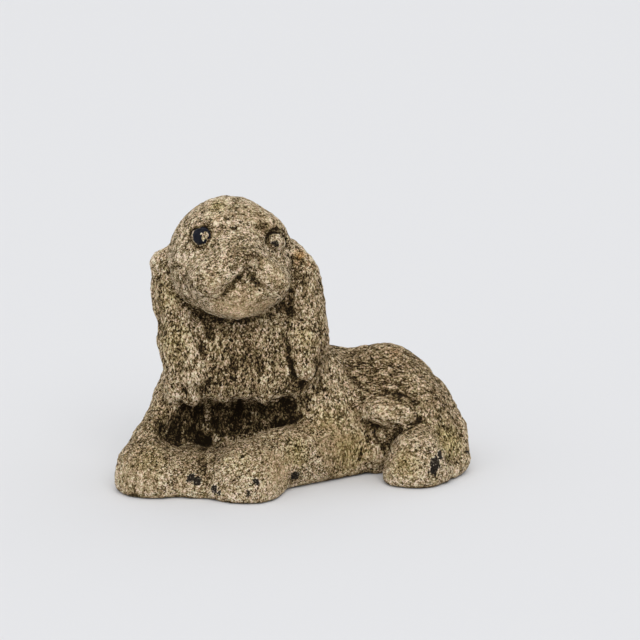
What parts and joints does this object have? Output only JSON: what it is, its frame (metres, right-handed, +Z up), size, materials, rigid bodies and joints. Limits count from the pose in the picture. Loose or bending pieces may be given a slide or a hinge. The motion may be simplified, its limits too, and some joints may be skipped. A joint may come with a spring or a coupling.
{
  "type": "spaniel garden statue",
  "caption": "Recumbent spaniel puppy statue in weathered cast stone, head raised and turned, forepaws forward; stands free on the ground as an ornament.",
  "frame": {"origin": "on the ground, under the middle of the statue's box", "axes": "+X along the statue towards the rump, -Y out of the side that the puppy shows, +Z up"},
  "size_m": [0.3204, 0.1944, 0.2499],
  "materials": {
    "weathered_cast_stone": "rough, speckled buff cast stone with dark pits, algae and a trace of black paint on one eye"
  },
  "bodies": {
    "root": {"spaniel_figure": "weathered_cast_stone"}
  },
  "joints": []
}
